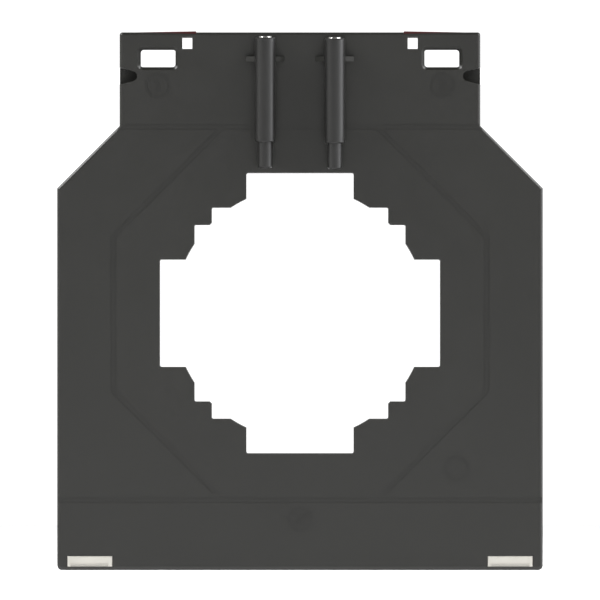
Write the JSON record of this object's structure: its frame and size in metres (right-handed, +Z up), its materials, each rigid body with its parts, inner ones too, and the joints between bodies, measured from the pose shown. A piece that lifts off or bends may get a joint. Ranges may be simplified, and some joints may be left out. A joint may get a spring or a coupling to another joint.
{
  "type": "current transformer",
  "caption": "Window-type measuring current transformer: moulded housing with a stepped busbar window, clamp rods and covered terminals.",
  "frame": {"origin": "middle of the base, on the plane where the two housing shells meet", "axes": "+X to the right as the rear face is seen, +Y from the rear face to the front face, +Z up"},
  "size_m": [0.14, 0.0463, 0.1553],
  "materials": {
    "housing": "matt",
    "covers": "satin",
    "clamp_plastic": "satin",
    "clamp_steel": "satin",
    "foot_strips": "satin",
    "core_steel": "satin",
    "core_caps": "matt",
    "copper_winding": "gloss",
    "coil_tape": "gloss",
    "lead_insulation": "satin",
    "terminal_brass": "satin",
    "terminal_steel": "satin",
    "plate": "satin"
  },
  "bodies": {
    "housing": {"rear_shell": "housing", "front_shell": "housing", "core": "core_steel", "core_cap_rear": "core_caps", "core_cap_front": "core_caps", "secondary_winding": "copper_winding", "winding_tape": "coil_tape", "lead_wire_left": "lead_insulation", "lead_wire_right": "lead_insulation", "terminal_bar_left": "terminal_brass", "terminal_bar_right": "terminal_brass", "clamp_sleeve_left": "clamp_plastic", "clamp_sleeve_right": "clamp_plastic", "foot_strip_left": "foot_strips", "foot_strip_right": "foot_strips", "rating_plate": "plate"},
    "cover_left": {"cover_left": "covers"},
    "clamp_left_tip": {"clamp_tip_left": "clamp_plastic"},
    "clamp_left_screw": {"clamp_screw_left": "clamp_steel"},
    "terminal_left_rear_plate": {"clamp_plate_left_rear": "terminal_steel"},
    "terminal_left_rear_screw": {"terminal_screw_left_rear": "terminal_steel"},
    "terminal_left_front_plate": {"clamp_plate_left_front": "terminal_steel"},
    "terminal_left_front_screw": {"terminal_screw_left_front": "terminal_steel"},
    "cover_right": {"cover_right": "covers"},
    "clamp_right_tip": {"clamp_tip_right": "clamp_plastic"},
    "clamp_right_screw": {"clamp_screw_right": "clamp_steel"},
    "terminal_right_rear_plate": {"clamp_plate_right_rear": "terminal_steel"},
    "terminal_right_rear_screw": {"terminal_screw_right_rear": "terminal_steel"},
    "terminal_right_front_plate": {"clamp_plate_right_front": "terminal_steel"},
    "terminal_right_front_screw": {"terminal_screw_right_front": "terminal_steel"}
  },
  "joints": [
    {"name": "cover_left_hinge", "type": "hinge", "parent": "housing", "child": "cover_left", "pos_m": [-0.0469, 0, 0.1532], "axis": [0, -1, 0], "range_deg": [0, 105]},
    {"name": "clamp_left_slide", "type": "slide", "parent": "housing", "child": "clamp_left_tip", "axis": [0, 0, -1], "range_m": [0, 0.0274]},
    {"name": "clamp_left_turn", "type": "hinge", "parent": "clamp_left_tip", "child": "clamp_left_screw", "pos_m": [-0.01, -0.0233, 0.14], "axis": [0, 0, -1], "range_deg": [0, 14092]},
    {"name": "terminal_left_rear_lift", "type": "slide", "parent": "housing", "child": "terminal_left_rear_plate", "axis": [0, 0, 1], "range_m": [0, 0.0022]},
    {"name": "terminal_left_rear_turn", "type": "hinge", "parent": "terminal_left_rear_plate", "child": "terminal_left_rear_screw", "pos_m": [-0.041, -0.0085, 0.143], "axis": [0, 0, 1], "range_deg": [0, 1132]},
    {"name": "terminal_left_front_lift", "type": "slide", "parent": "housing", "child": "terminal_left_front_plate", "axis": [0, 0, 1], "range_m": [0, 0.0022]},
    {"name": "terminal_left_front_turn", "type": "hinge", "parent": "terminal_left_front_plate", "child": "terminal_left_front_screw", "pos_m": [-0.041, 0.0085, 0.143], "axis": [0, 0, 1], "range_deg": [0, 1132]},
    {"name": "cover_right_hinge", "type": "hinge", "parent": "housing", "child": "cover_right", "pos_m": [0.0469, 0, 0.1532], "axis": [0, 1, 0], "range_deg": [0, 105]},
    {"name": "clamp_right_slide", "type": "slide", "parent": "housing", "child": "clamp_right_tip", "axis": [0, 0, -1], "range_m": [0, 0.0274]},
    {"name": "clamp_right_turn", "type": "hinge", "parent": "clamp_right_tip", "child": "clamp_right_screw", "pos_m": [0.01, -0.0233, 0.14], "axis": [0, 0, -1], "range_deg": [0, 14092]},
    {"name": "terminal_right_rear_lift", "type": "slide", "parent": "housing", "child": "terminal_right_rear_plate", "axis": [0, 0, 1], "range_m": [0, 0.0022]},
    {"name": "terminal_right_rear_turn", "type": "hinge", "parent": "terminal_right_rear_plate", "child": "terminal_right_rear_screw", "pos_m": [0.041, -0.0085, 0.143], "axis": [0, 0, 1], "range_deg": [0, 1132]},
    {"name": "terminal_right_front_lift", "type": "slide", "parent": "housing", "child": "terminal_right_front_plate", "axis": [0, 0, 1], "range_m": [0, 0.0022]},
    {"name": "terminal_right_front_turn", "type": "hinge", "parent": "terminal_right_front_plate", "child": "terminal_right_front_screw", "pos_m": [0.041, 0.0085, 0.143], "axis": [0, 0, 1], "range_deg": [0, 1132]}
  ],
  "couplings": [
    {"joint": "clamp_left_turn", "follows": "clamp_left_slide", "rad_per_m": 8976},
    {"joint": "terminal_left_rear_turn", "follows": "terminal_left_rear_lift", "rad_per_m": 8976},
    {"joint": "terminal_left_front_turn", "follows": "terminal_left_front_lift", "rad_per_m": 8976},
    {"joint": "clamp_right_turn", "follows": "clamp_right_slide", "rad_per_m": 8976},
    {"joint": "terminal_right_rear_turn", "follows": "terminal_right_rear_lift", "rad_per_m": 8976},
    {"joint": "terminal_right_front_turn", "follows": "terminal_right_front_lift", "rad_per_m": 8976}
  ]
}
